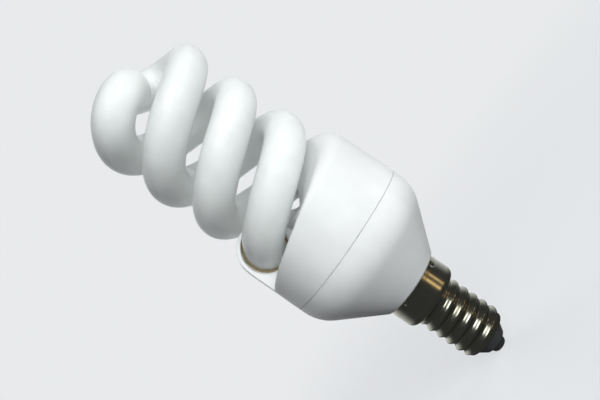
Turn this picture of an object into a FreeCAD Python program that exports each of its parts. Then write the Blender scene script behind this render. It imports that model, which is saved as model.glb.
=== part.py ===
import FreeCAD, Part
import math
import os

# Spiral energy saving bulb on an E14 screw cap, in millimetres.
# Z runs up the lamp's axis from the end of the centre contact to the tip of the spiral,
# and X points to the side from which the whole front of the spiral is seen.

# Spiral tube: two right-handed legs, half a turn apart, joined by an S bend at the tip
tube_diameter = 10.0
coil_radius = 13.0
coil_pitch = 28.0
mouth_angle = -75.0
exposed_sweep = 553.0
buried_sweep = 88.0
crossing_rise = 5.5
crossing_angle = 15.0
bend_lead = 11.3
crossing_lead = 7.2
tube_end_rounding = 1.5

# Upper cover: a moulded shell with two spiral ramps, each ending at a hood that takes a leg
seam_rise = 4.4
cover_radius = 20.3
cover_draft = 0.2
cover_wall = 1.6
ramp_gap = 2.0
roof_wall = 2.4
core_radius = 5.6
core_step = 0.5
core_drop = 0.4
step_lead = 4.0
core_fall = 1.5
hood_rounding = 6.8
rim_rounding = 0.9
rounding_sweep = 105.0
hood_cavity_rounding = 3.0
rim_cavity_rounding = 0.4
cement_gap = 0.7
tunnel_lead = 14.0
mouth_flare = 0.5
mouth_flare_depth = 0.9
mouth_flare_lead = 0.3
mouth_flare_drop = 0.35
spigot_wall = 1.1
spigot_clearance = 0.1
seam_bevel = 0.12

# Lower cup: a short band, a round shoulder and a cone down to the cap
cup_wall = 1.6
cup_bore_radius = 18.3
shoulder_radius = 11.0
cone_half_angle = 40.0
cone_end_radius = 9.1
cup_end_height = 27.4
ledge_width = 1.4
neck_end_height = 22.7
neck_bore_radius = 6.4

# Screw cap E14 with a 17 mm skirt
skirt_radius = 8.5
skirt_clearance = 0.05
shell_wall = 0.4
skirt_shoulder = 1.8
skirt_straight_end = 22.3
thread_radius = 6.9
root_radius = 6.15
thread_pitch = 2.82
thread_crest_width = 2.3
thread_start = 6.4
thread_turns = 4.6
shell_end_height = 4.8
shell_rim_radius = 5.6
dimple_count = 4
dimple_angle = 52.0
dimple_radius = 0.9
dimple_depth = 0.25
dimple_inset = 0.7

# Insulator and centre contact
insulator_clearance = 0.05
insulator_seat = 2.4
insulator_end_height = 1.9
insulator_end_radius = 3.2
contact_radius = 2.4
contact_thickness = 0.5
contact_recess = 0.3
solder_radius = 1.9
solder_land_radius = 0.8
wire_hole_radius = 0.7

# Circuit board and the clearances around its parts
board_rise = 1.25
board_thickness = 1.6
board_clearance = 0.2
seat_gap = 0.05
head_room = 1.36

# Parts on the board: radius and angle of each place, then the sizes of each part
capacitor_radius = 5.0
capacitor_length = 16.0
capacitor_edge = 0.6

choke_place = (10.3, -38.0)
choke_core_width = 12.0
choke_core_depth = 5.0
choke_core_height = 6.8
choke_core_limb = 2.5
choke_core_yoke = 1.3
bobbin_wall = 0.5
bobbin_clearance = 0.1

ring_outer_radius = 4.0
ring_inner_radius = 2.0
ring_height = 3.0
winding_thickness = 0.4
winding_span = 50.0
winding_count = 3

film_places = ((6.9, 140.0), (12.0, 140.0))
film_width = 10.0
film_depth = 4.0
film_height = 6.8
film_edge = 0.8

transistor_places = ((10.5, 80.0), (10.5, -108.0))
transistor_radius = 2.3
transistor_flat = 1.2
transistor_height = 4.8
transistor_stand = 1.2

diode_radius = 1.3
diode_length = 5.0
diode_places = ((14.3, -90.0), (14.3, -119.0), (14.3, -148.0), (9.6, -150.0))

resistor_radius = 0.9
resistor_length = 3.4
resistor_places = ((14.6, 88.0), (14.6, 62.0), (14.6, 36.0), (6.3, 62.0))

fuse_radius = 1.5
fuse_length = 8.0
fuse_place = (9.4, 32.0)

trigger_radius = 0.9
trigger_length = 3.6
trigger_place = (6.3, -112.0)

axial_lead_radius = 0.3
axial_lead_overhang = 0.8
axial_stand = 0.3

# Leads of the tube and of the mains
post_side = 0.8
post_height = 5.0
post_radius = 15.0
post_spread = 14.0
post_lag = 22.0
tube_lead_radius = 0.25
tube_lead_offset = 1.6
tube_lead_spring = 2.0
mains_lead_radius = 0.4
mains_lead_inset = 5.75
live_lead_bend_height = 17.0
neutral_lead_reach = 7.85

# Values worked out from the sizes above
tube_radius = tube_diameter / 2
helix_angle = math.atan2(coil_pitch, 2 * math.pi * coil_radius)
tube_half_height = tube_radius / math.cos(helix_angle)
cone_height = (cover_radius - cone_end_radius) / math.tan(math.radians(cone_half_angle))
cup_corner_height = cup_end_height + cone_height
board_underside = cup_corner_height + board_rise
board_top = board_underside + board_thickness
seam_height = board_underside + seam_rise
tallest_part = max(choke_core_height, film_height, transistor_stand + transistor_height)
roof_height = board_top + seat_gap + tallest_part + head_room
mouth_height = roof_height + roof_wall + ramp_gap + tube_half_height
core_height = mouth_height - core_fall
spigot_radius = cup_bore_radius - spigot_clearance
spigot_end = board_top + seat_gap
shell_inner_radius = root_radius - shell_wall
skirt_inner_radius = skirt_radius - shell_wall
tunnel_radius = tube_radius + cement_gap
half_turn = 180.0
full_turn = 360.0
overcut = 2.0
rim_sections = 12
rim_ease = 0.002
z_axis = FreeCAD.Vector(0, 0, 1)
origin = FreeCAD.Vector(0, 0, 0)


def polar(radius, angle, height):
    """Point at a radius and an angle in degrees about the axis."""
    turn = math.radians(angle)
    return FreeCAD.Vector(radius * math.cos(turn), radius * math.sin(turn), height)


def turned(shape, angle):
    """Copy of a shape turned about the axis by an angle in degrees."""
    copy = shape.copy()
    copy.rotate(origin, z_axis, angle)
    return copy


def face_of(start, *steps):
    """Closed face in the plane of radius and height.

    A step is a corner, or a pair of points: one that an arc passes and the arc's end.
    """
    edges = []
    here = start
    for step in steps + (start,):
        if isinstance(step[0], tuple):
            through, there = step
            arc = Part.Arc(polar(here[0], 0, here[1]), polar(through[0], 0, through[1]),
                           polar(there[0], 0, there[1]))
            edges.append(arc.toShape())
        else:
            there = step
            edges.append(Part.makeLine(polar(here[0], 0, here[1]), polar(there[0], 0, there[1])))
        here = there
    return Part.Face(Part.Wire(edges))


def revolved(start, *steps):
    """Solid of revolution about the axis."""
    return face_of(start, *steps).revolve(origin, z_axis, full_turn)


def tube_height(angle):
    """Height of the first leg's centre line at an angle along it."""
    return mouth_height + coil_pitch * (angle - mouth_angle) / full_turn


def helix(radius, first_angle, last_angle, pitch, first_height):
    """Right-handed helix wire from one angle up to another."""
    rise = pitch * (last_angle - first_angle) / full_turn
    wire = Part.makeHelix(pitch, rise, radius)
    wire.rotate(origin, z_axis, first_angle)
    wire.translate(FreeCAD.Vector(0, 0, first_height))
    return wire


def leg_helix(first_angle, last_angle):
    """Part of the first leg's centre line."""
    return helix(coil_radius, first_angle, last_angle, coil_pitch, tube_height(first_angle))


def swept_rod(path, radius):
    """Round rod along a path, square to the path at its start."""
    first_edge = path.Edges[0]
    start = first_edge.valueAt(first_edge.FirstParameter)
    along = first_edge.tangentAt(first_edge.FirstParameter)
    section = Part.Wire(Part.makeCircle(radius, start, along))
    return path.makePipeShell([section], True, True)


def crossing_bend(last_angle):
    """Half of the S bend at the tip: from the top of the first leg to the axis."""
    turn = math.radians(last_angle)
    start = polar(coil_radius, last_angle, tube_height(last_angle))
    along = FreeCAD.Vector(-math.sin(turn), math.cos(turn), math.tan(helix_angle)).normalize()
    middle = FreeCAD.Vector(0, 0, start.z + crossing_rise)
    across = polar(1, crossing_angle, 0)
    bend = Part.BezierCurve()
    bend.setPoles([start, start + along * bend_lead, middle - across * crossing_lead, middle])
    return Part.Wire(bend.toShape())


def make_spiral_tube():
    """Sealed discharge tube: both legs and the S bend that joins them, as one solid."""
    first_angle = mouth_angle - buried_sweep
    last_angle = mouth_angle + exposed_sweep
    leg = swept_rod(leg_helix(first_angle, last_angle), tube_radius)
    bend = swept_rod(crossing_bend(last_angle), tube_radius)
    end_place = leg_helix(first_angle, last_angle).Edges[0].valueAt(0)
    ends = [edge for edge in leg.Edges if edge.CenterOfMass.distanceToPoint(end_place) < tube_radius / 2]
    half = leg.makeFillet(tube_end_rounding, ends).fuse(bend)
    return half.fuse(turned(half, half_turn))


def ramp_floor(angle):
    """Height of the ramp under the first leg's last turn."""
    return tube_height(angle) - tube_half_height - ramp_gap


def wall_radius(height):
    """Outside radius of the cover, which narrows a little towards the spiral."""
    return cover_radius - cover_draft * (height - seam_height) / (mouth_height - seam_height)


def space_over_ramp(high_angle, drop):
    """Space above one ramp, outside the core: half a turn up to its high end and a little past it."""
    low_angle = high_angle - half_turn
    floor = ramp_floor(low_angle) - drop
    path = helix(coil_radius, low_angle, high_angle + step_lead, coil_pitch, floor)
    outside = cover_radius + overcut
    section = Part.makePolygon([polar(core_radius, low_angle, floor),
                                polar(outside, low_angle, floor),
                                polar(outside, low_angle, floor + coil_pitch),
                                polar(core_radius, low_angle, floor + coil_pitch),
                                polar(core_radius, low_angle, floor)])
    return path.makePipeShell([section], True, True)


def rim_round(angle, offset, high_angle, high_round, low_round):
    """Section of what the rounded rim takes off at an angle along the ramp."""
    share = min((high_angle - angle) / rounding_sweep, 1.0)
    radius = high_round + (low_round - high_round) * share
    top = ramp_floor(angle) - offset[1]
    wall = wall_radius(top) - offset[0]
    ease = radius * rim_ease
    corner = (wall - radius + ease, top - radius + ease)
    diagonal = radius * math.sqrt(0.5)
    points = [polar(wall + overcut, angle, corner[1]), polar(corner[0] + radius, angle, corner[1]),
              polar(corner[0] + diagonal, angle, corner[1] + diagonal),
              polar(corner[0], angle, corner[1] + radius),
              polar(corner[0], angle, top + overcut), polar(wall + overcut, angle, top + overcut)]
    arc = Part.Arc(points[1], points[2], points[3]).toShape()
    lines = [Part.makeLine(points[0], points[1]), arc, Part.makeLine(points[3], points[4]),
             Part.makeLine(points[4], points[5]), Part.makeLine(points[5], points[0])]
    return Part.Wire(lines)


def ramped_body(bottom, offset, shift, core, rounds):
    """Body with the two ramps on top, around a flat core.

    Its side and top lie inside the cover's outside by the two offsets, its two steps lie
    behind the hood mouths by a shift in degrees, and its rims have a round at each end.
    """
    flat_radius, core_top = core
    high_angle = mouth_angle + half_turn - shift
    top = ramp_floor(high_angle) + overcut - offset[1]
    body = Part.makeCone(wall_radius(bottom) - offset[0], wall_radius(top) - offset[0], top - bottom,
                         FreeCAD.Vector(0, 0, bottom))
    body = body.cut(Part.makeCylinder(flat_radius, top - core_top, FreeCAD.Vector(0, 0, core_top)))
    angles = [high_angle - half_turn * step / rim_sections for step in range(rim_sections + 1)]
    rim = Part.makeLoft([rim_round(angle, offset, high_angle, *rounds) for angle in angles], True, False)
    space = space_over_ramp(high_angle, offset[1])
    for cutter in (space, turned(space, half_turn), rim, turned(rim, half_turn)):
        body = body.cut(cutter)
    return body


def mouth_rod(radius):
    """Rod along the first leg's buried part, out through its mouth."""
    first_angle = mouth_angle - buried_sweep - tunnel_lead
    return swept_rod(leg_helix(first_angle, mouth_angle + tunnel_lead), radius)


def mouth_place(depth, drop):
    """Point behind the first mouth's face and below the tube's middle, and the way out of the mouth."""
    way_out = polar(1.0, mouth_angle + half_turn / 2, 0.0)
    return polar(coil_radius, mouth_angle, mouth_height - drop) - way_out * depth, way_out


def make_upper_cover():
    """Cover that holds the spiral: ramps, hoods and the spigot that snaps into the cup."""
    outside = ramped_body(seam_height, (0.0, 0.0), 0.0, (core_radius + core_step, core_height),
                          (hood_rounding, rim_rounding))
    shift = math.degrees(cover_wall / coil_radius)
    cavity_core = (core_radius + cover_wall, ramp_floor(mouth_angle - shift) - roof_wall - core_drop)
    inside = ramped_body(seam_height - overcut, (cover_wall, roof_wall), shift, cavity_core,
                         (hood_cavity_rounding, rim_cavity_rounding))
    tunnel = mouth_rod(tunnel_radius)
    flare_run = mouth_flare_depth + mouth_flare_lead
    flare_end = tunnel_radius + mouth_flare * flare_run / mouth_flare_depth
    flare_place = mouth_place(mouth_flare_depth, mouth_flare_drop)
    flare = Part.makeCone(tunnel_radius, flare_end, flare_run, *flare_place)
    cover = outside.cut(inside)
    for half in (0.0, half_turn):
        cover = cover.cut(turned(tunnel, half)).cut(turned(flare, half))
    inner = spigot_radius - spigot_wall
    shoulder = cover_radius - cover_wall / 2
    spigot = revolved((inner, spigot_end), (spigot_radius, spigot_end), (spigot_radius, seam_height),
                      (shoulder, seam_height), (shoulder, seam_height + cover_wall),
                      (inner, seam_height + cover_wall))
    bevel = revolved((cover_radius - seam_bevel, seam_height), (cover_radius + overcut, seam_height),
                     (cover_radius + overcut, seam_height + overcut + seam_bevel))
    return cover.fuse(spigot).cut(bevel)


def make_lower_cup():
    """Cup that holds the ballast, with the neck that the cap is pressed on."""
    slope = math.radians(cone_half_angle)
    tangent = shoulder_radius * math.tan(slope / 2)
    centre = (cover_radius - shoulder_radius, cup_corner_height + tangent)
    middle = (centre[0] + shoulder_radius * math.cos(slope / 2),
              centre[1] - shoulder_radius * math.sin(slope / 2))
    cone_top = (cover_radius - tangent * math.sin(slope),
                cup_corner_height - tangent * math.cos(slope))
    neck_radius = skirt_inner_radius - skirt_clearance
    ledge_radius = cup_bore_radius - ledge_width
    cone_wall = cup_wall / math.cos(slope)
    cone_inner_top = cup_end_height + (ledge_radius + cone_wall - cone_end_radius) / math.tan(slope)
    cone_inner_end = cup_end_height + (neck_bore_radius + cone_wall - cone_end_radius) / math.tan(slope)
    return revolved((neck_bore_radius, neck_end_height), (neck_radius, neck_end_height),
                    (neck_radius, cup_end_height), (cone_end_radius, cup_end_height), cone_top,
                    (middle, (cover_radius, centre[1])),
                    (cover_radius, seam_height - seam_bevel), (cover_radius - seam_bevel, seam_height),
                    (cup_bore_radius, seam_height), (cup_bore_radius, board_underside),
                    (ledge_radius, board_underside), (ledge_radius, cone_inner_top),
                    (neck_bore_radius, cone_inner_end))


def shell_outline(inset):
    """Corners and arcs of the cap's shell from its rim to its skirt, set in by a wall."""
    bend = skirt_shoulder - inset
    centre = (skirt_radius - skirt_shoulder, skirt_straight_end)
    diagonal = bend * math.sqrt(0.5)
    turn_in = (centre[0], centre[1] - bend)
    return [(root_radius - inset, shell_end_height + shell_wall),
            (root_radius - inset, turn_in[1]), turn_in,
            ((centre[0] + diagonal, centre[1] - diagonal), (skirt_radius - inset, centre[1])),
            (skirt_radius - inset, cup_end_height)]


def make_cap_shell():
    """Drawn metal shell with a rolled knuckle thread, a skirt and its punched dimples."""
    rim_bottom = [(shell_rim_radius, shell_end_height), (root_radius - shell_wall, shell_end_height)]
    outside = revolved((0.0, shell_end_height), *rim_bottom, *shell_outline(0.0), (0.0, cup_end_height))
    rim_bore = shell_rim_radius - shell_wall
    inside = revolved((0.0, shell_end_height - overcut), (rim_bore, shell_end_height - overcut),
                      (rim_bore, shell_end_height + shell_wall), *shell_outline(shell_wall),
                      (skirt_inner_radius, cup_end_height + overcut), (0.0, cup_end_height + overcut))
    half_width = thread_crest_width / 2
    base = root_radius - shell_wall / 2
    path = helix(root_radius, 0.0, full_turn * thread_turns, thread_pitch, thread_start)
    low = polar(base, 0, thread_start - half_width)
    high = polar(base, 0, thread_start + half_width)
    flank = Part.Arc(low, polar(thread_radius, 0, thread_start), high).toShape()
    foot = Part.makeLine(high, low)
    ridge = path.makePipeShell([Part.Wire([flank, foot])], True, True)
    shell = outside.fuse(ridge).cut(inside)
    ball_radius = (dimple_radius ** 2 + dimple_depth ** 2) / (2 * dimple_depth)
    for index in range(dimple_count):
        angle = dimple_angle + index * full_turn / dimple_count
        place = polar(skirt_radius - dimple_depth + ball_radius, angle, cup_end_height - dimple_inset)
        shell = shell.cut(Part.makeSphere(ball_radius, place))
    return shell


def make_cap_insulator():
    """Glass insulator that closes the shell's end, with a hole for the live lead."""
    rim_inside = shell_rim_radius - shell_wall - insulator_clearance
    seat_top = shell_end_height + shell_wall + insulator_clearance
    seat_radius = shell_inner_radius - insulator_clearance
    recess = insulator_end_height + contact_recess
    return revolved((wire_hole_radius, recess), (contact_radius + insulator_clearance, recess),
                    (contact_radius + insulator_clearance, insulator_end_height),
                    (insulator_end_radius, insulator_end_height),
                    (rim_inside, shell_end_height), (rim_inside, seat_top), (seat_radius, seat_top),
                    (seat_radius, seat_top + insulator_seat), (wire_hole_radius, seat_top + insulator_seat))


def make_contact_plate():
    """Round contact plate in the insulator's end, with a hole for the live lead."""
    top = insulator_end_height + contact_recess
    return revolved((wire_hole_radius, top - contact_thickness), (contact_radius, top - contact_thickness),
                    (contact_radius, top), (wire_hole_radius, top))


def make_contact_solder():
    """Dome of solder over the contact plate, with a flat land at the lamp's end."""
    top = insulator_end_height + contact_recess - contact_thickness
    centre_height = (solder_radius ** 2 + top ** 2 - solder_land_radius ** 2) / (2 * top)
    dome_radius = math.hypot(solder_land_radius, centre_height)
    ball = Part.makeSphere(dome_radius, FreeCAD.Vector(0, 0, centre_height))
    return ball.common(Part.makeCylinder(solder_radius + overcut, top))


def make_circuit_board():
    """Round board on the cup's ledge, held down by the cover's spigot."""
    radius = cup_bore_radius - board_clearance
    return Part.makeCylinder(radius, board_thickness, FreeCAD.Vector(0, 0, board_underside))


def make_electrolytic_capacitor():
    """Can that hangs from the middle of the board into the neck."""
    top = board_underside - seat_gap
    can = Part.makeCylinder(capacitor_radius, capacitor_length, FreeCAD.Vector(0, 0, top - capacitor_length))
    return can.makeFillet(capacitor_edge, [edge for edge in can.Edges if len(edge.Vertexes) == 1])


def on_board(shape, place, turn=0.0, stand=0.0):
    """Shape made about the origin, moved to a place on the board's top."""
    radius, angle = place
    moved = turned(shape, angle + turn)
    moved.translate(polar(radius, angle, board_top + seat_gap + stand))
    return moved


def centred_box(depth, width, height, bottom=0.0):
    """Box centred on the axis: depth runs along the radius, width across it."""
    return Part.makeBox(depth, width, height, FreeCAD.Vector(-depth / 2, -width / 2, bottom))


def choke_window():
    """Width and height of the space between the core's middle limb and its yokes."""
    width = (choke_core_width - choke_core_limb) / 2 - choke_core_yoke
    return width, choke_core_height - 2 * choke_core_yoke


def make_choke_core():
    """Ferrite core of two E halves that close around the winding."""
    width, height = choke_window()
    core = centred_box(choke_core_depth, choke_core_width, choke_core_height)
    for side in (-1, 1):
        window = centred_box(choke_core_depth + overcut, width, height, choke_core_yoke)
        window.translate(FreeCAD.Vector(0, side * (choke_core_limb + width) / 2, 0))
        core = core.cut(window)
    return on_board(core, choke_place)


def limb_sleeve(thickness, height, bottom, gap):
    """Box ring around the core's middle limb."""
    inner_depth = choke_core_depth + 2 * gap
    inner_width = choke_core_limb + 2 * gap
    outer = centred_box(inner_depth + 2 * thickness, inner_width + 2 * thickness, height, bottom)
    return outer.cut(centred_box(inner_depth, inner_width, height, bottom))


def make_choke_bobbin():
    """Moulded bobbin with a flange at each yoke."""
    width, height = choke_window()
    bottom = choke_core_yoke + bobbin_clearance
    length = height - 2 * bobbin_clearance
    flange = width - 2 * bobbin_clearance
    bobbin = limb_sleeve(bobbin_wall, length, bottom, bobbin_clearance)
    for low in (bottom, bottom + length - bobbin_wall):
        bobbin = bobbin.fuse(limb_sleeve(flange, bobbin_wall, low, bobbin_clearance))
    return on_board(bobbin, choke_place)


def make_choke_winding():
    """Copper winding that fills the bobbin."""
    width, height = choke_window()
    bottom = choke_core_yoke + 2 * bobbin_clearance + bobbin_wall
    length = height - 4 * bobbin_clearance - 2 * bobbin_wall
    gap = 2 * bobbin_clearance + bobbin_wall
    thickness = width - 4 * bobbin_clearance - bobbin_wall
    return on_board(limb_sleeve(thickness, length, bottom, gap), choke_place)


def ring_section(grow):
    """Section of the drive transformer's ring, grown by a thickness on each side."""
    bottom = board_top + seat_gap + winding_thickness - grow
    inner = ring_inner_radius - grow
    outer = ring_outer_radius + grow
    top = bottom + ring_height + 2 * grow
    return face_of((inner, bottom), (outer, bottom), (outer, top), (inner, top))


def make_drive_ring():
    """Ferrite ring of the drive transformer, in the middle of the board."""
    return ring_section(0.0).revolve(origin, z_axis, full_turn)


def make_drive_windings():
    """Three short windings around the ring."""
    wrap = ring_section(winding_thickness).revolve(origin, z_axis, winding_span).cut(make_drive_ring())
    turns = [index * full_turn / winding_count for index in range(winding_count)]
    return Part.makeCompound([turned(wrap, turn) for turn in turns])


def make_film_capacitor(place):
    """Dipped film capacitor with rounded upright edges."""
    body = centred_box(film_depth, film_width, film_height)
    upright = [edge for edge in body.Edges if edge.BoundBox.ZLength > film_height / 2]
    return on_board(body.makeFillet(film_edge, upright), place)


def make_transistors():
    """Two small transistors, each on three legs."""
    body = Part.makeCylinder(transistor_radius, transistor_height, FreeCAD.Vector(0, 0, transistor_stand))
    flat = centred_box(2 * transistor_radius, 2 * transistor_radius, transistor_height, transistor_stand)
    flat.translate(FreeCAD.Vector(transistor_flat + transistor_radius, 0, 0))
    body = body.cut(flat)
    for index in (-1, 0, 1):
        place = FreeCAD.Vector(0, index * (transistor_radius - 2 * axial_lead_radius), 0)
        body = body.fuse(Part.makeCylinder(axial_lead_radius, transistor_stand, place))
    return Part.makeCompound([on_board(body, place) for place in transistor_places])


def axial_part(radius, length):
    """Lying round body whose two leads bend down to the board."""
    height = radius + axial_stand
    reach = length / 2 + axial_lead_overhang
    body = Part.makeCylinder(radius, length, FreeCAD.Vector(0, -length / 2, height), FreeCAD.Vector(0, 1, 0))
    leads = wire_run([FreeCAD.Vector(0, -reach, 0), FreeCAD.Vector(0, -reach, height),
                      FreeCAD.Vector(0, reach, height), FreeCAD.Vector(0, reach, 0)], axial_lead_radius)
    return body.fuse(leads)


def wire_run(points, radius):
    """Round wire along straight runs, with a ball at each bend."""
    wire = Part.makeSphere(radius, points[1])
    for start, end in zip(points, points[1:]):
        along = end - start
        wire = wire.fuse(Part.makeCylinder(radius, along.Length, start, along))
    for bend in points[2:-1]:
        wire = wire.fuse(Part.makeSphere(radius, bend))
    return wire


def make_axial_parts(radius, length, places):
    """Group of lying parts of one kind."""
    part = axial_part(radius, length)
    return Part.makeCompound([on_board(part, place) for place in places])


def post_angles():
    """Angles of the two posts past the end of the first leg."""
    middle = mouth_angle - buried_sweep - post_lag
    return middle - post_spread / 2, middle + post_spread / 2


def make_lead_posts():
    """Four square posts on the board, two for each end of the tube."""
    post = centred_box(post_side, post_side, post_height)
    posts = [on_board(post, (post_radius, angle)) for angle in post_angles()]
    return Part.makeCompound([turned(each, half) for half in (0.0, half_turn) for each in posts])


def make_tube_leads():
    """Four thin leads from the ends of the tube to the tops of the posts."""
    end_angle = mouth_angle - buried_sweep
    turn = math.radians(end_angle)
    away = FreeCAD.Vector(math.sin(turn), -math.cos(turn), -math.tan(helix_angle)).normalize()
    leads = []
    for angle, side in zip(post_angles(), (1, -1)):
        pinch = polar(coil_radius + side * tube_lead_offset, end_angle, tube_height(end_angle))
        start = pinch + away * seat_gap
        post_top = polar(post_radius, angle, board_top + post_height + 2 * seat_gap + tube_lead_radius)
        leads.append(wire_run([start, start + away * tube_lead_spring, post_top], tube_lead_radius))
    return Part.makeCompound([turned(lead, half) for half in (0.0, half_turn) for lead in leads])


def make_live_wire():
    """Lead from the board past the capacitor to the hole in the contact plate."""
    top = board_underside - seat_gap
    capacitor_end = top - capacitor_length
    return wire_run([polar(mains_lead_inset, 0, top), polar(mains_lead_inset, 0, capacitor_end),
                     polar(0, 0, live_lead_bend_height),
                     polar(0, 0, insulator_end_height + contact_recess - contact_thickness + seat_gap)],
                    mains_lead_radius)


def make_neutral_wire():
    """Lead from the board to the inside of the shell, bent out under the neck's end."""
    top = board_underside - seat_gap
    bend_height = neck_end_height - mains_lead_radius - seat_gap
    return wire_run([polar(mains_lead_inset, half_turn, top),
                     polar(mains_lead_inset, half_turn, bend_height),
                     polar(neutral_lead_reach, half_turn, bend_height)], mains_lead_radius)


def make_tube_cement():
    """Rings of cement that bond the tube into the two hood mouths."""
    ring = mouth_rod(tunnel_radius - seat_gap).cut(mouth_rod(tube_radius + seat_gap))
    depth = cover_wall - mouth_flare_depth
    ring = ring.common(Part.makeCylinder(tunnel_radius + overcut, depth, *mouth_place(cover_wall, 0.0)))
    return Part.makeCompound([ring, turned(ring, half_turn)])


def make_parts():
    """Every piece of the lamp by its name."""
    return {
        "spiral_tube": make_spiral_tube(),
        "upper_cover": make_upper_cover(),
        "lower_cup": make_lower_cup(),
        "cap_shell": make_cap_shell(),
        "cap_insulator": make_cap_insulator(),
        "contact_plate": make_contact_plate(),
        "contact_solder": make_contact_solder(),
        "circuit_board": make_circuit_board(),
        "electrolytic_capacitor": make_electrolytic_capacitor(),
        "choke_core": make_choke_core(),
        "choke_bobbin": make_choke_bobbin(),
        "choke_winding": make_choke_winding(),
        "drive_ring": make_drive_ring(),
        "drive_windings": make_drive_windings(),
        "resonance_capacitor": make_film_capacitor(film_places[0]),
        "coupling_capacitor": make_film_capacitor(film_places[1]),
        "transistors": make_transistors(),
        "rectifier_diodes": make_axial_parts(diode_radius, diode_length, diode_places),
        "resistors": make_axial_parts(resistor_radius, resistor_length, resistor_places),
        "fusible_resistor": make_axial_parts(fuse_radius, fuse_length, (fuse_place,)),
        "trigger_diode": make_axial_parts(trigger_radius, trigger_length, (trigger_place,)),
        "lead_posts": make_lead_posts(),
        "tube_leads": make_tube_leads(),
        "live_wire": make_live_wire(),
        "neutral_wire": make_neutral_wire(),
        "tube_cement": make_tube_cement(),
    }


def main():
    """Write each piece to its own STEP file."""
    os.makedirs("parts", exist_ok=True)
    for name, shape in make_parts().items():
        shape.exportStep(f"parts/{name}.step")


if __name__ == "__main__":
    main()
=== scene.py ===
"""Looks of a spiral energy saving bulb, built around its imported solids.

Sizes in the classes are millimetres and degrees, and meshes are written in metres.
+Z runs up the lamp's axis, from the end of the centre contact to the tip of the spiral.
"""

import logging
import math
from collections.abc import Sequence
from dataclasses import dataclass
from enum import Enum
from functools import cache
from typing import Any

import bpy
import numpy as np
from mathutils import Matrix, Vector


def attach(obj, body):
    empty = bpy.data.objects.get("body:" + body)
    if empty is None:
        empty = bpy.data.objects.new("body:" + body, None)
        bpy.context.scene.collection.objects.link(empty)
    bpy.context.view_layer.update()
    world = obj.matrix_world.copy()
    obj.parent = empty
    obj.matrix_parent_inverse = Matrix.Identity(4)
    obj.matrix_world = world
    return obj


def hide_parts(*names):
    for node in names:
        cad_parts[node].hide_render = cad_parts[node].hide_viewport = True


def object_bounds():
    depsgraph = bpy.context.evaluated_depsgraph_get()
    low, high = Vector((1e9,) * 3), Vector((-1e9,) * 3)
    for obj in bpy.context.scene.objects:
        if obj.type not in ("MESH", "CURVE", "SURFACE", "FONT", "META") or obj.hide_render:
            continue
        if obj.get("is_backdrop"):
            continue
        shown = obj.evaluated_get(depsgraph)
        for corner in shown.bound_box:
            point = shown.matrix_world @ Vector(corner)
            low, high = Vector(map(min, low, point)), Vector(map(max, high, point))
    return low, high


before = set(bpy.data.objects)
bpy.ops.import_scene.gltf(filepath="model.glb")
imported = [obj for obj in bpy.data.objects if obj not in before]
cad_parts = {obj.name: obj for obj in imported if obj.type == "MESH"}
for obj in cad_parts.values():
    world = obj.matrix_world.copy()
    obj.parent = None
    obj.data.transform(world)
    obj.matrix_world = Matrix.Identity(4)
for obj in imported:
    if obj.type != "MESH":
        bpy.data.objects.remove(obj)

LOG = logging.getLogger("spiral_bulb")
MM = 0.001
ROOT_BODY = "root"

# Meshes: points nearer than the weld are one, and the shift keeps round sizes off its limits.
WELD_MM = 1e-4
WELD_SHIFT = 0.137
SHARP_DEGREES = 38.0
CORNER_POINTS = 13
SHORT_STEP = 1 / 8
TINY = 1e-12
FULL_TURN = 360.0

# Finishes: the span that noise seldom leaves, its octaves, and the rays that ease an edge.
NOISE_SPAN = (0.3, 0.7)
CLOUD_DETAIL = 3.0
GRAIN_DETAIL = 2.0
EDGE_RAYS = 6

# Sockets of the Mix node for colours: its share, its two colours and its result.
MIX_SHARE, MIX_FIRST, MIX_SECOND, MIX_RESULT = 0, 6, 7, 2

Outline = np.ndarray
Grid = np.ndarray
Corner = tuple[float, float, float]
Point = tuple[float, float, float]
Span = tuple[float, float]


def linear(colour: str) -> tuple[float, float, float, float]:
    """Turn an sRGB hex colour into linear red, green, blue and alpha.

    Args:
        colour: six hex digits after a hash sign.

    Returns:
        Linear components, each from 0 to 1, with an alpha of 1.
    """
    coded = np.array([int(colour[place:place + 2], 16) for place in (1, 3, 5)]) / 255
    parts = np.where(coded <= 0.04045, coded / 12.92, ((coded + 0.055) / 1.055) ** 2.4)
    return (*parts.tolist(), 1.0)


def add_node(tree: bpy.types.NodeTree, kind: str, inputs: dict[Any, Any] | None = None,
             **settings: Any) -> bpy.types.Node:
    """Add one node with its settings, its values and its links.

    Args:
        tree: node tree that gets the node.
        kind: the node's type.
        inputs: by socket name or number, a value or the output socket to link.
        settings: the node's own properties.

    Returns:
        The new node.
    """
    node = tree.nodes.new(kind)
    for name, value in settings.items():
        setattr(node, name, value)
    for key, value in (inputs or {}).items():
        if isinstance(value, bpy.types.NodeSocket):
            tree.links.new(value, node.inputs[key])
        else:
            node.inputs[key].default_value = value
    return node


def smooth_step(share: np.ndarray) -> np.ndarray:
    """Ease from 0 to 1: three times the square less twice the cube of the clipped share."""
    clipped = np.clip(share, 0.0, 1.0)
    return clipped * clipped * (3.0 - 2.0 * clipped)


def unit(vectors: np.ndarray) -> np.ndarray:
    """Divide vectors by their length along the last axis."""
    return vectors / np.maximum(np.linalg.norm(vectors, axis=-1, keepdims=True), TINY)


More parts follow.
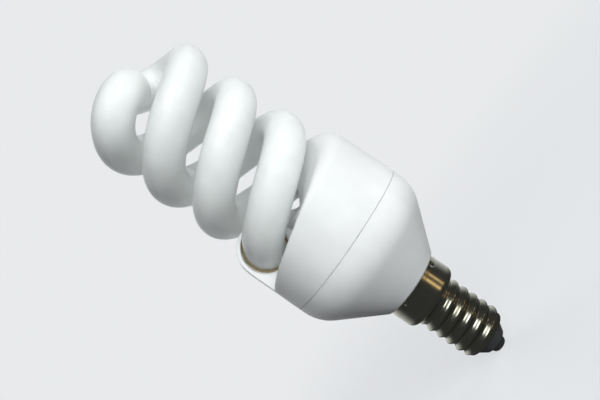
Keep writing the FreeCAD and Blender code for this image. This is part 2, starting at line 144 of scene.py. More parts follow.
def eased_outline(corners: Sequence[Corner], step: float) -> Outline:
    """Draw a closed outline in the plane of radius and height with eased corners.

    Each corner is replaced by a parabola that leaves the two sides at the corner's own
    reach. The whole line is then divided into steps of about equal length.

    Args:
        corners: radius, height and reach of each corner in millimetres.
        step: length of a division in millimetres.

    Returns:
        Points as rows of radius and height.
    """
    table = np.array(corners, float)
    spots, reach = table[:, :2], table[:, 2:]
    to_last = unit(np.roll(spots, 1, axis=0) - spots) * reach
    to_next = unit(np.roll(spots, -1, axis=0) - spots) * reach
    share = np.linspace(0.0, 1.0, CORNER_POINTS)[None, :, None]
    curve = spots[:, None] + (1 - share) ** 2 * to_last[:, None] + share ** 2 * to_next[:, None]
    line = curve.reshape(-1, 2)
    line = np.vstack([line, line[:1]])
    travel = np.concatenate([[0.0], np.cumsum(np.linalg.norm(np.diff(line, axis=0), axis=1))])
    kept = np.concatenate([[True], np.diff(travel) > WELD_MM])
    travel, line = travel[kept], line[kept]
    marks = np.unique(np.concatenate([travel, np.arange(0.0, travel[-1], step)]))
    marks = marks[np.concatenate([[True], np.diff(marks) > step * SHORT_STEP])]
    marks[-1] = travel[-1]
    return np.stack([np.interp(marks, travel, line[:, axis]) for axis in (0, 1)], axis=1)


def revolve(outline: Outline, columns: int) -> Grid:
    """Carry an outline once round the axis: (r cos t, r sin t, z) for t over a full turn.

    Args:
        outline: rows of radius and height in millimetres.
        columns: number of divisions of the turn.

    Returns:
        Grid of points, one row for each point of the outline.
    """
    turn = np.linspace(0.0, 2 * math.pi, columns + 1)
    radius, height = outline[:, :1], outline[:, 1:]
    return np.stack([radius * np.cos(turn), radius * np.sin(turn),
                     np.broadcast_to(height, (len(outline), columns + 1))], axis=-1)


def grid_quads(grid: Grid, first: int) -> np.ndarray:
    """Number the four corners of each cell of a grid.

    Args:
        grid: points in rows and columns.
        first: number of the grid's first point.

    Returns:
        Four point numbers for each cell.
    """
    index = first + np.arange(grid.shape[0] * grid.shape[1]).reshape(grid.shape[:2])
    cells = [index[:-1, :-1], index[:-1, 1:], index[1:, 1:], index[1:, :-1]]
    return np.stack(cells, axis=-1).reshape(-1, 4)


def make_piece(name: str, grids: Sequence[Grid], material: bpy.types.Material,
               nodes: Sequence[str]) -> bpy.types.Object:
    """Make one closed piece from grids of points and let it stand for solids of the frame.

    Points that coincide are joined, so that seams and poles close, and a cell with two
    joined corners becomes a triangle. If the signed volume, a sixth of the sum of the
    triple products of the faces' corners, is negative, every face is turned round.

    Args:
        name: the piece's name.
        grids: grids of points in millimetres.
        material: the finish it wears.
        nodes: solids that the piece stands for.

    Returns:
        The new object, which rides on the lamp.
    """
    starts = np.cumsum([0] + [grid.shape[0] * grid.shape[1] for grid in grids])
    points = np.concatenate([grid.reshape(-1, 3) for grid in grids])
    quads = np.concatenate([grid_quads(grid, first) for grid, first in zip(grids, starts)])
    keys = np.round(points / WELD_MM + WELD_SHIFT).astype(np.int64)
    _, chosen, joined = np.unique(keys, axis=0, return_index=True, return_inverse=True)
    points, quads = points[chosen], joined.reshape(-1)[quads]
    repeats = quads == np.roll(quads, -1, axis=1)
    count = repeats.sum(axis=1)
    triangles = quads[count == 1][~repeats[count == 1]].reshape(-1, 3)
    quads = quads[count == 0]
    fans = np.concatenate([quads[:, [0, 1, 2]], quads[:, [0, 2, 3]], triangles])
    corners = points[fans]
    if np.einsum("ij,ij->", corners[:, 0], np.cross(corners[:, 1], corners[:, 2])) < 0:
        quads, triangles = quads[:, ::-1], triangles[:, ::-1]
    mesh = bpy.data.meshes.new(name)
    mesh.from_pydata((points * MM).tolist(), [], quads.tolist() + triangles.tolist())
    mesh.polygons.foreach_set("use_smooth", np.ones(len(mesh.polygons), bool))
    mesh.set_sharp_from_angle(angle=math.radians(SHARP_DEGREES))
    mesh.materials.append(material)
    piece = bpy.data.objects.new(name, mesh)
    bpy.context.scene.collection.objects.link(piece)
    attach(piece, ROOT_BODY)
    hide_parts(*nodes)
    LOG.info("%s: %d points, %d faces", name, len(mesh.vertices), len(mesh.polygons))
    return piece


class Pattern(Enum):
    """How a finish's pattern lies: its frequency along X, Y and Z against its size."""

    CLOUDS = (1.0, 1.0, 1.0)
    RINGS = (0.04, 0.04, 1.0)
    STREAKS = (1.0, 1.0, 0.06)


@dataclass(frozen=True)
class Finish:
    """One real material: its colours, gloss and grain.

    The colour runs between base and tint in clouds, the roughness between two values over
    the same clouds, and a finer grain gives the relief.
    """

    name: str
    base: str
    tint: str
    cloud_mm: float
    roughness: Span
    grain_mm: float
    relief_mm: float
    pattern: Pattern = Pattern.CLOUDS
    metallic: float = 0.0
    ior: float = 1.5
    coat: float = 0.0
    coat_roughness: float = 0.03
    scatter: float = 0.0
    scatter_mm: float = 1.0
    edge_mm: float = 0.0

    @cache
    def material(self) -> bpy.types.Material:
        """Build the node tree.

        Returns:
            The material, made once for each finish.
        """
        low, high = NOISE_SPAN
        made = bpy.data.materials.new(self.name)
        made.use_nodes = True
        tree = made.node_tree
        tree.nodes.clear()
        place = add_node(tree, "ShaderNodeTexCoord").outputs["Object"]
        laid = add_node(tree, "ShaderNodeMapping",
                        {"Vector": place, "Scale": self.pattern.value}).outputs["Vector"]
        clouds = add_node(tree, "ShaderNodeTexNoise",
                          {"Vector": laid, "Scale": 1 / (self.cloud_mm * MM),
                           "Detail": CLOUD_DETAIL})
        depth = add_node(tree, "ShaderNodeMapRange",
                         {"Value": clouds.outputs["Fac"], "From Min": low, "From Max": high})
        shade = add_node(tree, "ShaderNodeMix",
                         {MIX_SHARE: depth.outputs["Result"], MIX_FIRST: linear(self.base),
                          MIX_SECOND: linear(self.tint)}, data_type="RGBA")
        gloss = add_node(tree, "ShaderNodeMapRange",
                         {"Value": clouds.outputs["Fac"], "From Min": low, "From Max": high,
                          "To Min": self.roughness[0], "To Max": self.roughness[1]})
        grain = add_node(tree, "ShaderNodeTexNoise",
                         {"Vector": laid, "Scale": 1 / (self.grain_mm * MM),
                          "Detail": GRAIN_DETAIL})
        relief = add_node(tree, "ShaderNodeBump",
                          {"Height": grain.outputs["Fac"], "Distance": self.relief_mm * MM,
                           "Strength": 1.0})
        if self.edge_mm:
            eased = add_node(tree, "ShaderNodeBevel", {"Radius": self.edge_mm * MM},
                             samples=EDGE_RAYS)
            tree.links.new(eased.outputs["Normal"], relief.inputs["Normal"])
        surface = add_node(tree, "ShaderNodeBsdfPrincipled",
                           {"Base Color": shade.outputs[MIX_RESULT],
                            "Roughness": gloss.outputs["Result"],
                            "Metallic": self.metallic, "IOR": self.ior,
                            "Coat Weight": self.coat, "Coat Roughness": self.coat_roughness,
                            "Subsurface Weight": self.scatter,
                            "Subsurface Scale": self.scatter_mm * MM,
                            "Subsurface Radius": (1.0, 1.0, 1.0),
                            "Normal": relief.outputs["Normal"]})
        add_node(tree, "ShaderNodeOutputMaterial", {"Surface": surface.outputs["BSDF"]})
        return made


# Milky glass: soda-lime tube over a white phosphor coat, so a sharp gloss over a matt white body.
MILKY_GLASS = Finish("phosphor_glass", "#F0F3F2", "#E8EBEA", cloud_mm=6.0, roughness=(0.42, 0.52),
                     grain_mm=2.5, relief_mm=0.004, coat=0.5, coat_roughness=0.08, scatter=0.9,
                     scatter_mm=8.0)
# Moulded PBT: opaque white with a satin skin from a lightly eroded mould, and soft edges.
WHITE_PLASTIC = Finish("moulded_pbt", "#F0F1F1", "#E8E9E9", cloud_mm=9.0, roughness=(0.36, 0.46),
                       grain_mm=0.35, relief_mm=0.006, ior=1.55, scatter=0.08, scatter_mm=0.8,
                       edge_mm=0.4)
# Nickel plate on drawn brass: a warm grey mirror with fine lines round it from the drawing ring.
NICKEL_PLATE = Finish("nickel_plate", "#C2C3B8", "#B1B09C", cloud_mm=1.6, roughness=(0.18, 0.25),
                      grain_mm=0.4, relief_mm=0.0012, pattern=Pattern.RINGS, metallic=1.0)
# Black glass cast into the cap: dark grey to the eye, with a dull and slightly wavy skin.
BLACK_GLASS = Finish("cast_glass", "#3A3C3E", "#484A4B", cloud_mm=2.0, roughness=(0.3, 0.42),
                     grain_mm=0.9, relief_mm=0.02, ior=1.6)
# Brass plate: yellow metal dulled by handling.
CONTACT_BRASS = Finish("stamped_brass", "#C9A25A", "#A9803F", cloud_mm=1.0, roughness=(0.25, 0.42),
                       grain_mm=0.3, relief_mm=0.004, metallic=1.0)
# Tin solder: soft grey metal that set with a frosted, faintly dimpled skin.
TIN_SOLDER = Finish("dull_solder", "#B4B5B3", "#999B9A", cloud_mm=0.8, roughness=(0.5, 0.65),
                    grain_mm=0.4, relief_mm=0.02, metallic=1.0)
# Phenolic paper laminate: brown board with a matt, fibrous face.
BOARD_LAMINATE = Finish("phenolic_board", "#A8763E", "#8E5F30", cloud_mm=3.0,
                        roughness=(0.55, 0.7), grain_mm=0.4, relief_mm=0.01)
# PVC shrink sleeve: dark and softly glossy.
CAPACITOR_SLEEVE = Finish("pvc_sleeve", "#23262B", "#2E3238", cloud_mm=4.0, roughness=(0.28, 0.4),
                          grain_mm=0.8, relief_mm=0.01)
# Sintered ferrite: dull black ceramic with a gritty skin.
FERRITE = Finish("sintered_ferrite", "#2C2B2D", "#3A393A", cloud_mm=1.2, roughness=(0.6, 0.8),
                 grain_mm=0.25, relief_mm=0.02)
# Nylon bobbin: off-white and satin.
BOBBIN_PLASTIC = Finish("nylon_bobbin", "#D9D2C0", "#CBC3AE", cloud_mm=3.0, roughness=(0.4, 0.55),
                        grain_mm=0.4, relief_mm=0.006)
# Enamelled copper wire: turns of red-brown metal under clear varnish.
COPPER_WIRE = Finish("enamelled_copper", "#B4622F", "#7E3F1E", cloud_mm=0.35,
                     roughness=(0.25, 0.4), grain_mm=0.35, relief_mm=0.08, pattern=Pattern.RINGS,
                     metallic=1.0, coat=0.6, coat_roughness=0.15)
# Epoxy dip: glossy brown-red coat with a pebbled skin.
FILM_DIP = Finish("epoxy_dip", "#8F3A22", "#7B2F1B", cloud_mm=3.0, roughness=(0.22, 0.36),
                  grain_mm=1.2, relief_mm=0.03)
# Moulded epoxy resin of small semiconductors: matt black.
BLACK_RESIN = Finish("moulded_resin", "#1E1F21", "#292A2C", cloud_mm=2.0, roughness=(0.5, 0.62),
                     grain_mm=0.2, relief_mm=0.008)
# Resistor lacquer: pale tan and slightly lumpy.
RESISTOR_LACQUER = Finish("ochre_lacquer", "#C9A97C", "#BB996A", cloud_mm=1.5,
                          roughness=(0.35, 0.5), grain_mm=0.8, relief_mm=0.02)
# Flameproof lacquer of a fusible resistor: grey-green and matt.
FUSE_LACQUER = Finish("flameproof_lacquer", "#7D8A80", "#6E7B72", cloud_mm=1.5,
                      roughness=(0.55, 0.7), grain_mm=0.5, relief_mm=0.02)
# Soft glass bead of a trigger diode: orange glass over the chip.
DIODE_GLASS = Finish("bead_glass", "#B8642A", "#9C4E1F", cloud_mm=1.0, roughness=(0.08, 0.18),
                     grain_mm=0.8, relief_mm=0.005)
# Tinned wire: bright grey metal with lines along the draw.
TINNED_WIRE = Finish("tinned_copper", "#C9C9C6", "#B0B0AD", cloud_mm=0.5, roughness=(0.2, 0.35),
                     grain_mm=0.3, relief_mm=0.004, pattern=Pattern.STREAKS, metallic=1.0)
# Silicone sleeve: soft red-brown rubber.
WIRE_SLEEVE = Finish("silicone_sleeve", "#9B3A33", "#8A322C", cloud_mm=2.0, roughness=(0.5, 0.62),
                     grain_mm=0.4, relief_mm=0.006)
# Basing cement: olive brown, chalky and pitted.
CEMENT = Finish("basing_cement", "#93866A", "#7E7053", cloud_mm=0.9, roughness=(0.75, 0.9),
                grain_mm=0.35, relief_mm=0.06)

NODE_FINISHES: dict[str, Finish] = {
    "upper_cover": WHITE_PLASTIC, "tube_cement": CEMENT, "circuit_board": BOARD_LAMINATE,
    "electrolytic_capacitor": CAPACITOR_SLEEVE, "choke_core": FERRITE, "drive_ring": FERRITE,
    "choke_bobbin": BOBBIN_PLASTIC, "choke_winding": COPPER_WIRE, "drive_windings": COPPER_WIRE,
    "resonance_capacitor": FILM_DIP, "coupling_capacitor": FILM_DIP, "transistors": BLACK_RESIN,
    "rectifier_diodes": BLACK_RESIN, "resistors": RESISTOR_LACQUER,
    "fusible_resistor": FUSE_LACQUER, "trigger_diode": DIODE_GLASS, "lead_posts": TINNED_WIRE,
    "tube_leads": TINNED_WIRE, "live_wire": WIRE_SLEEVE, "neutral_wire": WIRE_SLEEVE,
}


@dataclass
class SpiralTube:
    """Discharge tube: two right-handed legs half a turn apart and the S bend between them."""

    tip_height: float
    tube_radius: float = 5.0
    coil_radius: float = 13.0
    coil_pitch: float = 28.0
    mouth_angle: float = -75.0
    exposed_sweep: float = 553.0
    buried_sweep: float = 88.0
    crossing_rise: float = 5.5
    crossing_angle: float = 15.0
    bend_lead: float = 11.3
    crossing_lead: float = 7.2
    end_rounding: float = 1.5
    end_rings: int = 8
    end_trim: int = 4
    leg_stations: int = 300
    bend_stations: int = 60
    columns: int = 56

    @property
    def mouth_height(self) -> float:
        """Height of a mouth: the tip less the tube's radius and the rise of crossing and leg."""
        leg_rise = self.coil_pitch * self.exposed_sweep / FULL_TURN
        return self.tip_height - self.tube_radius - self.crossing_rise - leg_rise

    def leg_path(self) -> np.ndarray:
        """Follow the first leg: (R cos a, R sin a, h + pitch (a - a0) / 360).

        Returns:
            Points of the centre line from the buried end to the top of the leg.
        """
        angle = np.linspace(self.mouth_angle - self.buried_sweep,
                            self.mouth_angle + self.exposed_sweep, self.leg_stations)
        turn = np.radians(angle)
        height = self.mouth_height + self.coil_pitch * (angle - self.mouth_angle) / FULL_TURN
        return np.stack([self.coil_radius * np.cos(turn), self.coil_radius * np.sin(turn), height],
                        axis=1)

    def bend_path(self, start: np.ndarray) -> np.ndarray:
        """Follow half of the S bend, a cubic Bezier from the leg's top to the axis.

        Args:
            start: the last point of the leg.

        Returns:
            Points of the centre line after the start, ending on the axis.
        """
        turn = math.radians(self.mouth_angle + self.exposed_sweep)
        rise = self.coil_pitch / (2 * math.pi * self.coil_radius)
        along = unit(np.array([-math.sin(turn), math.cos(turn), rise]))
        crossing = math.radians(self.crossing_angle)
        across = np.array([math.cos(crossing), math.sin(crossing), 0.0])
        middle = np.array([0.0, 0.0, start[2] + self.crossing_rise])
        poles = (start, start + along * self.bend_lead,
                 middle - across * self.crossing_lead, middle)
        share = np.linspace(0.0, 1.0, self.bend_stations + 1)[1:, None]
        weights = ((1 - share) ** 3, 3 * share * (1 - share) ** 2, 3 * share ** 2 * (1 - share),
                   share ** 3)
        return sum(weight * pole for weight, pole in zip(weights, poles))

    def path(self) -> np.ndarray:
        """Join both legs: the second half is the first one turned by half a turn, backwards.

        Returns:
            Points of the whole centre line.
        """
        leg = self.leg_path()
        half = np.concatenate([leg, self.bend_path(leg[-1])])
        return np.concatenate([half, (half * (-1.0, -1.0, 1.0))[-2::-1]])

    def grid(self) -> Grid:
        """Carry a circle along the path: C + r (side cos v + lift sin v).

        Side is square to the path and level, and lift is square to both. At the two ends the
        circle follows a quarter round down to a point.

        Returns:
            Grid of points, one row for each ring.
        """
        line = self.path()
        along = unit(np.gradient(line, axis=0))
        quarter = np.linspace(0.0, math.pi / 2, self.end_rings + 1)[1:]
        set_back = self.end_rounding * (1 - np.sin(quarter))[:, None]
        rim = self.tube_radius - self.end_rounding * (1 - np.cos(quarter))
        foot = (line[0] + set_back * along[0])[::-1]
        head = line[-1] - set_back * along[-1]
        keep = slice(self.end_trim, -self.end_trim)
        centres = np.concatenate([foot[:1], foot, line[keep], head, head[-1:]])
        ahead = np.concatenate([np.tile(along[0], (self.end_rings + 1, 1)), along[keep],
                                np.tile(along[-1], (self.end_rings + 1, 1))])
        sizes = np.concatenate([[0.0], rim[::-1], np.full(len(line[keep]), self.tube_radius), rim,
                                [0.0]])
        side = unit(np.cross(ahead, (0.0, 0.0, 1.0)))
        lift = np.cross(side, ahead)
        turn = np.linspace(0.0, 2 * math.pi, self.columns + 1)
        ring = side[:, None] * np.cos(turn)[:, None] + lift[:, None] * np.sin(turn)[:, None]
        return centres[:, None] + sizes[:, None, None] * ring

    def build(self) -> bpy.types.Object:
        """Make the tube's piece."""
        return make_piece("glass_spiral", [self.grid()], MILKY_GLASS.material(),
                          ["spiral_tube"])


@dataclass
class LowerCup:
    """Lower half of the housing: a short band, a round shoulder and a cone down to the cap."""

    radius: float = 20.3
    wall: float = 1.6
    bore_radius: float = 18.3
    ledge_width: float = 1.4
    cone_half_angle: float = 40.0
    shoulder_radius: float = 11.0
    board_rise: float = 1.25
    seam_rise: float = 4.4
    end_radius: float = 9.1
    end_height: float = 27.4
    neck_radius: float = 8.05
    neck_bore: float = 6.4
    neck_height: float = 22.7
    seam_ease: float = 0.06
    end_ease: float = 0.35
    inner_ease: float = 0.1
    step: float = 0.45
    columns: int = 192

    def outline(self) -> Outline:
        """Go round the cup's section, outside first.

        The cone widens at its half angle up to the full radius, where the round shoulder eases
        the corner. The board's ledge and the seam stand above that corner.

        Returns:
            Rows of radius and height.
        """
        slope = math.radians(self.cone_half_angle)
        cone_wall = self.wall / math.cos(slope)
        reach = self.shoulder_radius * math.tan(slope / 2)
        corner = self.end_height + (self.radius - self.end_radius) / math.tan(slope)
        board = corner + self.board_rise
        seam = board + self.seam_rise
        ledge = self.bore_radius - self.ledge_width
        ledge_end = self.end_height + (ledge + cone_wall - self.end_radius) / math.tan(slope)
        foot = self.neck_bore + cone_wall - self.end_radius
        bore_end = self.end_height + foot / math.tan(slope)
        ease = self.inner_ease
        return eased_outline([
            (self.neck_bore, self.neck_height, ease), (self.neck_radius, self.neck_height, ease),
            (self.neck_radius, self.end_height, 0.0),
            (self.end_radius, self.end_height, self.end_ease), (self.radius, corner, reach),
            (self.radius, seam, self.seam_ease), (self.bore_radius, seam, ease),
            (self.bore_radius, board, 0.0), (ledge, board, ease), (ledge, ledge_end, ease),
            (self.neck_bore, bore_end, ease)], self.step)

    def build(self) -> bpy.types.Object:
        """Make the cup's piece."""
        return make_piece("lower_housing", [revolve(self.outline(), self.columns)],
                          WHITE_PLASTIC.material(), ["lower_cup"])


@dataclass
class ScrewCap:
    """Screw cap: drawn shell with a rolled knuckle thread, insulator and centre contact.

    The three outlines give the radius, height and reach of each corner.
    """

    skirt_radius: float = 8.5
    root_radius: float = 6.15
    thread_radius: float = 6.9
    thread_pitch: float = 2.82
    thread_start: float = 6.4
    thread_foot: float = 5.3
    thread_top: float = 20.3
    thread_fade: float = 1.1
    thread_margin: float = 0.05
    wall: float = 0.4
    rim_radius: float = 5.2
    rim_height: float = 4.8
    shoulder_height: float = 20.5
    shoulder_reach: float = 1.8
    top_height: float = 27.4
    dimple_count: int = 4
    dimple_angle: float = 52.0
    dimple_radius: float = 0.95
    dimple_depth: float = 0.3
    dimple_inset: float = 0.7
    edge_ease: float = 0.1
    rim_ease: float = 0.55
    foot_ease: float = 0.3
    top_ease: float = 0.12
    inner_ease: float = 0.2
    insulator: tuple[Corner, ...] = (
        (0.7, 2.2, 0.05), (2.45, 2.2, 0.05), (2.45, 1.9, 0.08), (3.2, 1.9, 0.35), (5.15, 4.8, 0.2),
        (5.15, 5.25, 0.05), (5.7, 5.25, 0.05), (5.7, 7.65, 0.2), (0.7, 7.65, 0.1))
    plate: tuple[Corner, ...] = (
        (0.7, 1.7, 0.05), (2.4, 1.7, 0.15), (2.4, 2.2, 0.05), (0.7, 2.2, 0.05))
    solder: tuple[Corner, ...] = (
        (0.0, 1.7, 0.0), (2.2, 1.7, 0.02), (2.0, 0.0, 1.3), (0.6, 0.0, 0.05), (0.0, 0.0, 0.0))
    step: float = 0.18
    columns: int = 240
    end_columns: int = 128
    bead_columns: int = 96

    def shell_outline(self) -> Outline:
        """Go round the shell's section without its thread, outside first.

        Returns:
            Rows of radius and height.
        """
        inner = self.root_radius - self.wall
        skirt_inner = self.skirt_radius - self.wall
        return eased_outline([
            (self.rim_radius, self.rim_height, self.edge_ease),
            (self.root_radius, self.rim_height, self.rim_ease),
            (self.root_radius, self.shoulder_height, self.foot_ease),
            (self.skirt_radius, self.shoulder_height, self.shoulder_reach),
            (self.skirt_radius, self.top_height, self.top_ease),
            (skirt_inner, self.top_height, self.edge_ease),
            (skirt_inner, self.shoulder_height + self.wall, self.shoulder_reach - self.wall),
            (inner, self.shoulder_height + self.wall, self.inner_ease),
            (inner, self.rim_height + self.wall, self.inner_ease),
            (self.rim_radius, self.rim_height + self.wall, self.edge_ease)], self.step)

    def shell_grid(self) -> Grid:
        """Add the thread and the dimples to the turned shell.

        The thread moves the wall out by a raised cosine of the phase (z - z0) / pitch - t / 2 pi,
        which fades out at both ends. A dimple moves it in by its depth times the square of one
        less the squared distance over its radius.

        Returns:
            Grid of points of the whole shell.
        """
        outline = self.shell_outline()
        turn = np.linspace(0.0, 2 * math.pi, self.columns + 1)
        radius, height = outline[:, :1], outline[:, 1:]
        phase = (height - self.thread_start) / self.thread_pitch - turn / (2 * math.pi)
        fade = (smooth_step((height - self.thread_foot) / self.thread_fade)
                * smooth_step((self.thread_top - height) / self.thread_fade)
                * (radius < self.root_radius + self.thread_margin))
        ridge = (self.thread_radius - self.root_radius) * (0.5 + 0.5 * np.cos(2 * math.pi * phase))
        swollen = radius + fade * ridge
        first = math.radians(self.dimple_angle)
        spacing = 2 * math.pi / self.dimple_count
        aside = (np.mod(turn - first + spacing / 2, spacing) - spacing / 2) * self.skirt_radius
        above = height - (self.top_height - self.dimple_inset)
        near = np.clip(1 - (aside ** 2 + above ** 2) / self.dimple_radius ** 2, 0.0, 1.0)
        outside = radius > self.skirt_radius - self.wall / 2
        swollen = swollen - outside * self.dimple_depth * near ** 2
        return np.stack([swollen * np.cos(turn), swollen * np.sin(turn),
                         np.broadcast_to(height, swollen.shape)], axis=-1)

    def build(self) -> list[bpy.types.Object]:
        """Make the cap's pieces.

        Returns:
            Shell, insulator, contact plate and solder.
        """
        insulator = revolve(eased_outline(self.insulator, self.step), self.end_columns)
        plate = revolve(eased_outline(self.plate, self.step), self.end_columns)
        solder = revolve(eased_outline(self.solder, self.step), self.bead_columns)
        return [
            make_piece("cap_screw_shell", [self.shell_grid()], NICKEL_PLATE.material(),
                       ["cap_shell"]),
            make_piece("cap_glass_insulator", [insulator], BLACK_GLASS.material(),
                       ["cap_insulator"]),
            make_piece("cap_contact_plate", [plate], CONTACT_BRASS.material(),
                       ["contact_plate"]),
            make_piece("cap_contact_solder", [solder], TIN_SOLDER.material(),
                       ["contact_solder"]),
        ]


@dataclass
class CarriedSolids:
    """Solids of the frame that keep their shape and get a finish, by name."""

    finishes: dict[str, Finish]

    def dress(self) -> None:
        """Give each solid its finish."""
        for name, finish in self.finishes.items():
            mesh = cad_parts[name].data
            mesh.materials.clear()
            mesh.materials.append(finish.material())
            LOG.info("%s: %s", name, finish.name)


class Reach(Enum):
    """What a lamp acts on: every surface, matt light alone, or mirrored light alone."""

    EVERYWHERE = "everywhere"
    MATT = "matt"
    MIRRORS = "mirrors"


@dataclass(frozen=True)
class SoftBox:
    """One soft box: its way from the lamp in degrees, its light in watts.

    The height on the axis that it faces, its distance and its size are in metres.
    """

    name: str
    azimuth: float
    elevation: float
    power: float
    aim: float = 0.06
    distance: float = 0.8
    size: Span = (0.6, 0.6)
    colour: str = "#FFFFFF"
    reach: Reach = Reach.EVERYWHERE

    def hang(self) -> None:
        """Hang the soft box so that it faces the lamp."""
        data = bpy.data.lights.new(self.name, "AREA")
        data.shape = "RECTANGLE"
        data.energy = self.power
        data.size, data.size_y = self.size
        data.color = linear(self.colour)[:3]
        box = bpy.data.objects.new(self.name, data)
        turn, lift = math.radians(self.azimuth), math.radians(self.elevation)
        way = Vector((math.cos(turn) * math.cos(lift), math.sin(turn) * math.cos(lift),
                      math.sin(lift)))
        box.location = Vector((0.0, 0.0, self.aim)) + way * self.distance
        box.rotation_euler = way.to_track_quat("Z", "Y").to_euler()
        box.visible_camera = False
        box.visible_diffuse = self.reach is not Reach.MIRRORS
        box.visible_glossy = self.reach is not Reach.MATT
        bpy.context.scene.collection.objects.link(box)


# A high key for the highlights, three broad boxes for the white forms, and two small warm
# strips that the cap's skirt mirrors.
SOFT_BOXES = (
    SoftBox("key_box", azimuth=15.0, elevation=40.0, power=1.8, size=(0.44, 0.44)),
    SoftBox("front_box", azimuth=19.0, elevation=5.0, power=8.5, colour="#FAFEFE",
            reach=Reach.MATT),
    SoftBox("side_box", azimuth=96.0, elevation=5.0, power=3.5, reach=Reach.MATT),
    SoftBox("back_box", azimuth=203.0, elevation=8.0, power=5.2, reach=Reach.MATT),
    SoftBox("cap_strip_wide", azimuth=40.0, elevation=0.0, power=0.0009, aim=0.0095,
            distance=0.07, size=(0.009, 0.017), colour="#FFD99A", reach=Reach.MIRRORS),
    SoftBox("cap_strip_thin", azimuth=59.5, elevation=0.0, power=0.0006, aim=0.0095,
            distance=0.07, size=(0.006, 0.017), colour="#FFD99A", reach=Reach.MIRRORS),
)


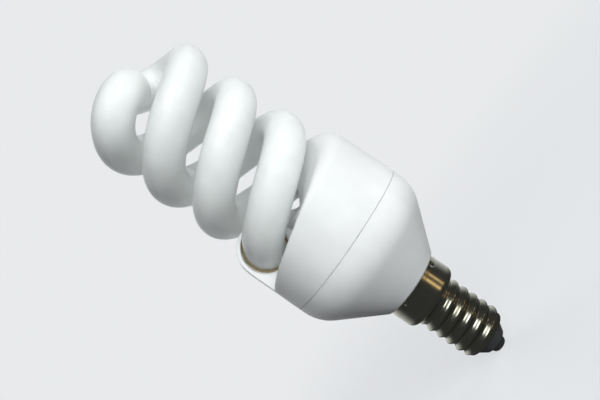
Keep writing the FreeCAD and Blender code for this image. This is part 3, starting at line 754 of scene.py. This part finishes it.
@dataclass
class Studio:
    """Floor, world, lamps and camera, in metres.

    The pale background stands behind the lamp, so metal and glass mirror it on that side and
    a dim room on the other: mirror_span and sky_span are where the floor and the sky change.
    """

    floor_radius: float = 1.5
    floor_sides: int = 96
    floor_grey: str = "#8E9092"
    floor_lift: float = 0.74
    fade_span: Span = (0.05, 0.32)
    mirror_span: Span = (-0.12, -0.01)
    sky_span: Span = (-0.95, -0.35)
    pale: str = "#E8EAEC"
    room: float = 0.06
    fill: str = "#D2E3F0"
    ambient: float = 0.03
    eye: Point = (0.18290, 0.00164, 0.06385)
    right: Point = (0.01295, 0.56416, -0.82556)
    up: Point = (-0.00885, 0.82566, 0.56409)
    back: Point = (0.99988, 0.0, 0.01568)
    lens: float = 45.0
    sensor: float = 36.0
    nearest: float = 0.01
    boxes: tuple[SoftBox, ...] = SOFT_BOXES

    def floor(self) -> bpy.types.Object:
        """Lay a round floor under the lamp that fades into the pale background.

        Its rim is (R cos t, R sin t, 0) for t over a full turn.

        Returns:
            The floor, marked as stage.
        """
        made = bpy.data.materials.new("pale_floor")
        made.use_nodes = True
        tree = made.node_tree
        tree.nodes.clear()
        place = add_node(tree, "ShaderNodeTexCoord").outputs["Object"]
        away = add_node(tree, "ShaderNodeVectorMath", {0: place}, operation="LENGTH")
        fade = add_node(tree, "ShaderNodeMapRange",
                        {"Value": away.outputs["Value"], "From Min": self.fade_span[0],
                         "From Max": self.fade_span[1]}, interpolation_type="SMOOTHSTEP")
        path = add_node(tree, "ShaderNodeLightPath")
        seen = add_node(tree, "ShaderNodeMath",
                        {0: path.outputs["Is Camera Ray"], 1: path.outputs["Is Transmission Ray"]},
                        operation="MAXIMUM")
        near = add_node(tree, "ShaderNodeMath", {0: seen.outputs[0], 1: self.floor_lift},
                        operation="MULTIPLY")
        matt = add_node(tree, "ShaderNodeBsdfDiffuse", {"Color": linear(self.floor_grey)})
        dim = add_node(tree, "ShaderNodeEmission",
                       {"Color": linear(self.pale), "Strength": near.outputs[0]})
        lit = add_node(tree, "ShaderNodeAddShader", {0: matt.outputs[0], 1: dim.outputs[0]})
        glow = add_node(tree, "ShaderNodeEmission",
                        {"Color": linear(self.pale), "Strength": seen.outputs[0]})
        faded = add_node(tree, "ShaderNodeMixShader",
                         {0: fade.outputs[0], 1: lit.outputs[0], 2: glow.outputs[0]})
        split = add_node(tree, "ShaderNodeSeparateXYZ", {0: place})
        behind = add_node(tree, "ShaderNodeMapRange",
                          {"Value": split.outputs["X"], "From Min": self.mirror_span[0],
                           "From Max": self.mirror_span[1], "To Min": 1.0, "To Max": self.room},
                          interpolation_type="SMOOTHSTEP")
        shine = add_node(tree, "ShaderNodeMath",
                         {0: behind.outputs["Result"], 1: path.outputs["Is Glossy Ray"]},
                         operation="MULTIPLY")
        level = add_node(tree, "ShaderNodeMath", {0: shine.outputs[0], 1: self.room},
                         operation="MAXIMUM")
        mirrored = add_node(tree, "ShaderNodeEmission",
                            {"Color": linear(self.pale), "Strength": level.outputs[0]})
        mixed = add_node(tree, "ShaderNodeMixShader",
                         {0: seen.outputs[0], 1: mirrored.outputs[0], 2: faded.outputs[0]})
        add_node(tree, "ShaderNodeOutputMaterial", {"Surface": mixed.outputs["Shader"]})
        turn = np.linspace(0.0, 2 * math.pi, self.floor_sides, endpoint=False)
        rim = self.floor_radius * np.stack([np.cos(turn), np.sin(turn), 0.0 * turn], axis=1)
        mesh = bpy.data.meshes.new("floor")
        mesh.from_pydata(rim.tolist(), [], [list(range(self.floor_sides))])
        mesh.materials.append(made)
        floor = bpy.data.objects.new("floor", mesh)
        bpy.context.scene.collection.objects.link(floor)
        floor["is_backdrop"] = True
        return floor

    def world(self) -> None:
        """Light the room: a pale background to the eye, a dim room in reflections, a soft fill."""
        world = bpy.data.worlds.new("studio")
        bpy.context.scene.world = world
        world.use_nodes = True
        tree = world.node_tree
        tree.nodes.clear()
        path = add_node(tree, "ShaderNodeLightPath")
        seen = add_node(tree, "ShaderNodeMath",
                        {0: path.outputs["Is Camera Ray"], 1: path.outputs["Is Transmission Ray"]},
                        operation="MAXIMUM")
        way = add_node(tree, "ShaderNodeTexCoord").outputs["Generated"]
        split = add_node(tree, "ShaderNodeSeparateXYZ", {0: way})
        room = add_node(tree, "ShaderNodeMapRange",
                        {"Value": split.outputs["X"], "From Min": self.sky_span[0],
                         "From Max": self.sky_span[1], "To Min": 1.0, "To Max": self.room},
                        interpolation_type="SMOOTHSTEP")
        soft = add_node(tree, "ShaderNodeBackground",
                        {"Color": linear(self.fill), "Strength": self.ambient})
        mirrored = add_node(tree, "ShaderNodeBackground",
                            {"Color": linear(self.pale), "Strength": room.outputs["Result"]})
        pale = add_node(tree, "ShaderNodeBackground", {"Color": linear(self.pale), "Strength": 1.0})
        glossy = add_node(tree, "ShaderNodeMixShader",
                          {0: path.outputs["Is Glossy Ray"], 1: soft.outputs[0],
                           2: mirrored.outputs[0]})
        whole = add_node(tree, "ShaderNodeMixShader",
                         {0: seen.outputs[0], 1: glossy.outputs[0], 2: pale.outputs[0]})
        add_node(tree, "ShaderNodeOutputWorld", {"Surface": whole.outputs[0]})

    def camera(self) -> None:
        """Place the camera at the photograph's point of view."""
        data = bpy.data.cameras.new("photo_camera")
        data.sensor_width = self.sensor
        data.lens = self.lens
        data.clip_start = self.nearest
        eye = bpy.data.objects.new("photo_camera", data)
        axes = Matrix((self.right, self.up, self.back)).transposed().to_4x4()
        eye.matrix_world = Matrix.Translation(self.eye) @ axes
        bpy.context.scene.collection.objects.link(eye)
        bpy.context.scene.camera = eye

    def build(self) -> None:
        """Set up the whole studio."""
        bpy.context.scene.view_settings.view_transform = "Standard"
        self.floor()
        self.world()
        for box in self.boxes:
            box.hang()
        self.camera()
        LOG.info("studio is set")


def main() -> None:
    """Build the lamp's sub-assemblies and the studio in order."""
    logging.basicConfig(level=logging.INFO, format="%(name)s %(message)s")
    cad_box = [list(corner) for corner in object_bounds()]
    CarriedSolids(NODE_FINISHES).dress()
    SpiralTube(tip_height=cad_box[1][2] / MM).build()
    LowerCup().build()
    ScrewCap().build()
    Studio().build()


if __name__ == "__main__":
    main()
